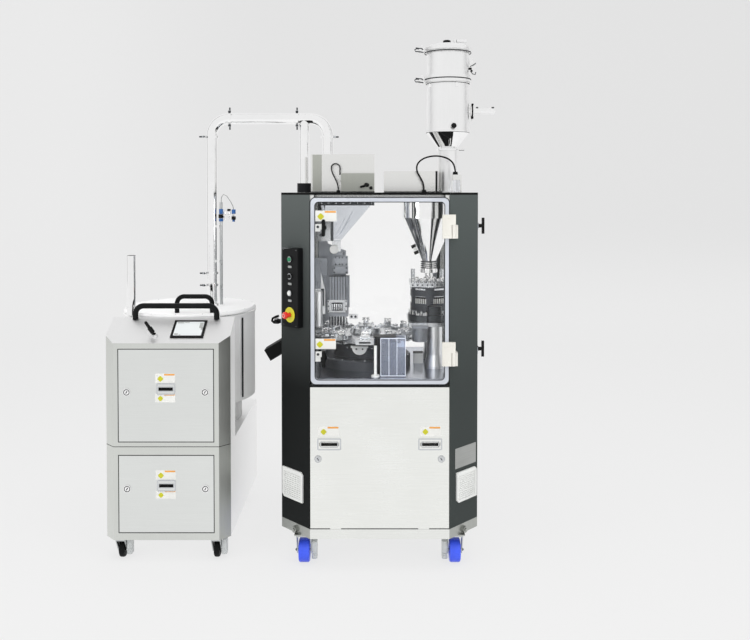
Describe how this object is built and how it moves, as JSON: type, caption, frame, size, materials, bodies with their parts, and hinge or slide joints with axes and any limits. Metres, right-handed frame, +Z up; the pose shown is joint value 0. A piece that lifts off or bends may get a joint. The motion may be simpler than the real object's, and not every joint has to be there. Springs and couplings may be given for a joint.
{
  "type": "capsule filler",
  "caption": "Capsule filling machine: octagonal cabinet with glazed chamber, roof vacuum loader, and a dust unit joined by a rigid pipe, on castors.",
  "frame": {"origin": "on the floor below the centre of the set's bounding box", "axes": "+Z up, -Y towards the operator at the front doors, +X to the operator's right"},
  "size_m": [2.169, 1.145, 2.832],
  "materials": {
    "stainless": "brushed stainless sheet",
    "bright_steel": "machined bright steel",
    "polished_steel": "polished stainless",
    "dark_steel": "dark oxidised steel",
    "cast_metal": "painted grey casting",
    "dark_paint": "satin charcoal powder coat",
    "cream_paint": "cream powder coat",
    "clear_glass": "clear safety glass in a pale seal",
    "clear_plastic": "clear acrylic",
    "white_plastic": "moulded white plastic",
    "black_plastic": "moulded black plastic",
    "green_plastic": "moulded green plastic",
    "red_plastic": "moulded red plastic",
    "cable_rubber": "black cable jacket",
    "blue_tyre": "blue polyurethane tread",
    "black_tyre": "black rubber tread"
  },
  "bodies": {
    "cabinets": {"aux_base": "stainless", "aux_console": "stainless", "base_frame": "stainless", "box_cable": "cable_rubber", "capsule_feeder": "cast_metal", "capsule_hopper": "clear_plastic", "control_box": "black_plastic", "corner_panels": "dark_paint", "deck_plate": "dark_steel", "discharge_chute": "dark_paint", "dosing_frame": "bright_steel", "drive_unit": "cast_metal", "drum_lid": "stainless", "dust_drum": "stainless", "dust_pipe": "polished_steel", "hinge_leaves": "cream_paint", "loader_cable": "cable_rubber", "loader_head": "polished_steel", "loader_vessel": "polished_steel", "lower_cladding": "stainless", "main_frame": "stainless", "powder_hopper": "polished_steel", "push_handle": "black_plastic", "rear_window": "clear_glass", "roof_boxes": "stainless", "roof_plate": "dark_paint", "touch_panel": "black_plastic", "turret_housing": "cast_metal", "vent_grilles": "white_plastic"},
    "front_door": {"front_door": "clear_glass"},
    "front_latch_upper": {"front_latch_upper": "black_plastic"},
    "front_latch_lower": {"front_latch_lower": "black_plastic"},
    "right_door": {"right_door": "clear_glass"},
    "right_latch_upper": {"right_latch_upper": "black_plastic"},
    "right_latch_lower": {"right_latch_lower": "black_plastic"},
    "left_door": {"left_door": "clear_glass"},
    "left_latch": {"left_latch": "black_plastic"},
    "lower_panel": {"lower_panel": "stainless"},
    "start_button": {"start_button": "green_plastic"},
    "stop_button": {"stop_button": "black_plastic"},
    "jog_button": {"jog_button": "white_plastic"},
    "estop_button": {"estop_button": "red_plastic"},
    "turret": {"turret": "bright_steel"},
    "dosing_disc": {"dosing_disc": "bright_steel"},
    "tamping_head": {"tamping_head": "dark_steel"},
    "capsule_magazine": {"capsule_magazine": "bright_steel"},
    "reject_box": {"reject_box": "clear_plastic"},
    "aux_upper_door": {"aux_upper_door": "stainless"},
    "aux_lower_door": {"aux_lower_door": "stainless"},
    "switch_lever": {"switch_lever": "black_plastic"},
    "machine_fork_left": {"machine_fork_left": "bright_steel"},
    "machine_fork_right": {"machine_fork_right": "bright_steel"},
    "machine_wheel_left": {"machine_wheel_left": "blue_tyre"},
    "machine_wheel_right": {"machine_wheel_right": "blue_tyre"},
    "machine_wheels_rear": {"machine_wheels_rear": "blue_tyre"},
    "unit_fork_left": {"unit_fork_left": "bright_steel"},
    "unit_fork_right": {"unit_fork_right": "bright_steel"},
    "unit_wheel_left": {"unit_wheel_left": "black_tyre"},
    "unit_wheel_right": {"unit_wheel_right": "black_tyre"},
    "unit_wheels_rear": {"unit_wheels_rear": "black_tyre"}
  },
  "joints": [
    {"name": "front_door_swing", "type": "hinge", "parent": "cabinets", "child": "front_door", "pos_m": [0.8125, -0.5395, 1.5], "axis": [0, 0, 1], "range_deg": [0, 110]},
    {"name": "front_latch_upper_turn", "type": "hinge", "parent": "front_door", "child": "front_latch_upper", "pos_m": [0.1455, -0.5485, 1.79], "axis": [0, 1, 0], "range_deg": [0, 90]},
    {"name": "front_latch_lower_turn", "type": "hinge", "parent": "front_door", "child": "front_latch_lower", "pos_m": [0.1455, -0.5485, 1.12], "axis": [0, 1, 0], "range_deg": [0, 90]},
    {"name": "right_door_swing", "type": "hinge", "parent": "cabinets", "child": "right_door", "pos_m": [0.9685, 0.2265, 1.5], "axis": [0, 0, 1], "range_deg": [0, 110]},
    {"name": "right_latch_upper_turn", "type": "hinge", "parent": "right_door", "child": "right_latch_upper", "pos_m": [0.9775, -0.2905, 1.79], "axis": [1, 0, 0], "range_deg": [0, 90]},
    {"name": "right_latch_lower_turn", "type": "hinge", "parent": "right_door", "child": "right_latch_lower", "pos_m": [0.9775, -0.2905, 1.12], "axis": [1, 0, 0], "range_deg": [0, 90]},
    {"name": "left_door_swing", "type": "hinge", "parent": "cabinets", "child": "left_door", "pos_m": [-0.1035, 0.2265, 1.5], "axis": [0, 0, -1], "range_deg": [0, 20]},
    {"name": "left_latch_turn", "type": "hinge", "parent": "left_door", "child": "left_latch", "pos_m": [-0.1125, -0.2905, 1.275], "axis": [1, 0, 0], "range_deg": [0, 90]},
    {"name": "lower_panel_lift_off", "type": "slide", "parent": "cabinets", "child": "lower_panel", "axis": [0, -1, 0], "range_m": [0, 0.2]},
    {"name": "aux_upper_door_lift_off", "type": "slide", "parent": "cabinets", "child": "aux_upper_door", "axis": [0, -1, 0], "range_m": [0, 0.15]},
    {"name": "aux_lower_door_lift_off", "type": "slide", "parent": "cabinets", "child": "aux_lower_door", "axis": [0, -1, 0], "range_m": [0, 0.15]},
    {"name": "start_button_press", "type": "slide", "parent": "cabinets", "child": "start_button", "axis": [0.7071, 0.7071, 0], "range_m": [0, 0.004], "stiffness_N_per_m": 600},
    {"name": "stop_button_press", "type": "slide", "parent": "cabinets", "child": "stop_button", "axis": [0.7071, 0.7071, 0], "range_m": [0, 0.004], "stiffness_N_per_m": 600},
    {"name": "jog_button_press", "type": "slide", "parent": "cabinets", "child": "jog_button", "axis": [0.7071, 0.7071, 0], "range_m": [0, 0.004], "stiffness_N_per_m": 600},
    {"name": "estop_press", "type": "slide", "parent": "cabinets", "child": "estop_button", "axis": [0.7071, 0.7071, 0], "range_m": [0, 0.005], "stiffness_N_per_m": 1500},
    {"name": "turret_index", "type": "hinge", "parent": "cabinets", "child": "turret", "pos_m": [0.3535, -0.0885, 1.15], "axis": [0, 0, 1], "continuous": true},
    {"name": "dosing_disc_index", "type": "hinge", "parent": "cabinets", "child": "dosing_disc", "pos_m": [0.7125, -0.0985, 1.25], "axis": [0, 0, 1], "continuous": true},
    {"name": "tamping_stroke", "type": "slide", "parent": "cabinets", "child": "tamping_head", "axis": [0, 0, 1], "range_m": [0, 0.04]},
    {"name": "magazine_stroke", "type": "slide", "parent": "cabinets", "child": "capsule_magazine", "axis": [0, 0, 1], "range_m": [0, 0.03]},
    {"name": "reject_box_lift", "type": "slide", "parent": "cabinets", "child": "reject_box", "axis": [0, 0, 1], "range_m": [0, 0.06]},
    {"name": "switch_tip", "type": "hinge", "parent": "cabinets", "child": "switch_lever", "pos_m": [-0.7705, -0.37602, 1.21154], "axis": [0, 0.8595, 0.5111], "range_deg": [0, 44]},
    {"name": "machine_swivel_left", "type": "hinge", "parent": "cabinets", "child": "machine_fork_left", "pos_m": [0.0325, -0.4285, 0.165], "axis": [0, 0, 1], "continuous": true},
    {"name": "machine_roll_left", "type": "hinge", "parent": "machine_fork_left", "child": "machine_wheel_left", "pos_m": [0.0325, -0.3965, 0.0625], "axis": [1, 0, 0], "continuous": true},
    {"name": "machine_swivel_right", "type": "hinge", "parent": "cabinets", "child": "machine_fork_right", "pos_m": [0.8325, -0.4285, 0.165], "axis": [0, 0, 1], "continuous": true},
    {"name": "machine_roll_right", "type": "hinge", "parent": "machine_fork_right", "child": "machine_wheel_right", "pos_m": [0.8325, -0.3965, 0.0625], "axis": [1, 0, 0], "continuous": true},
    {"name": "machine_roll_rear", "type": "hinge", "parent": "cabinets", "child": "machine_wheels_rear", "pos_m": [0.4325, 0.2715, 0.0625], "axis": [1, 0, 0], "continuous": true},
    {"name": "unit_swivel_left", "type": "hinge", "parent": "cabinets", "child": "unit_fork_left", "pos_m": [-0.9535, -0.3615, 0.114], "axis": [0, 0, 1], "continuous": true},
    {"name": "unit_roll_left", "type": "hinge", "parent": "unit_fork_left", "child": "unit_wheel_left", "pos_m": [-0.9535, -0.33692, 0.048], "axis": [1, 0, 0], "continuous": true},
    {"name": "unit_swivel_right", "type": "hinge", "parent": "cabinets", "child": "unit_fork_right", "pos_m": [-0.4435, -0.3615, 0.114], "axis": [0, 0, 1], "continuous": true},
    {"name": "unit_roll_right", "type": "hinge", "parent": "unit_fork_right", "child": "unit_wheel_right", "pos_m": [-0.4435, -0.33692, 0.048], "axis": [1, 0, 0], "continuous": true},
    {"name": "unit_roll_rear", "type": "hinge", "parent": "cabinets", "child": "unit_wheels_rear", "pos_m": [-0.6985, 0.4765, 0.048], "axis": [1, 0, 0], "continuous": true}
  ],
  "couplings": [
    {"joint": "dosing_disc_index", "follows": "turret_index", "ratio": -2}
  ]
}
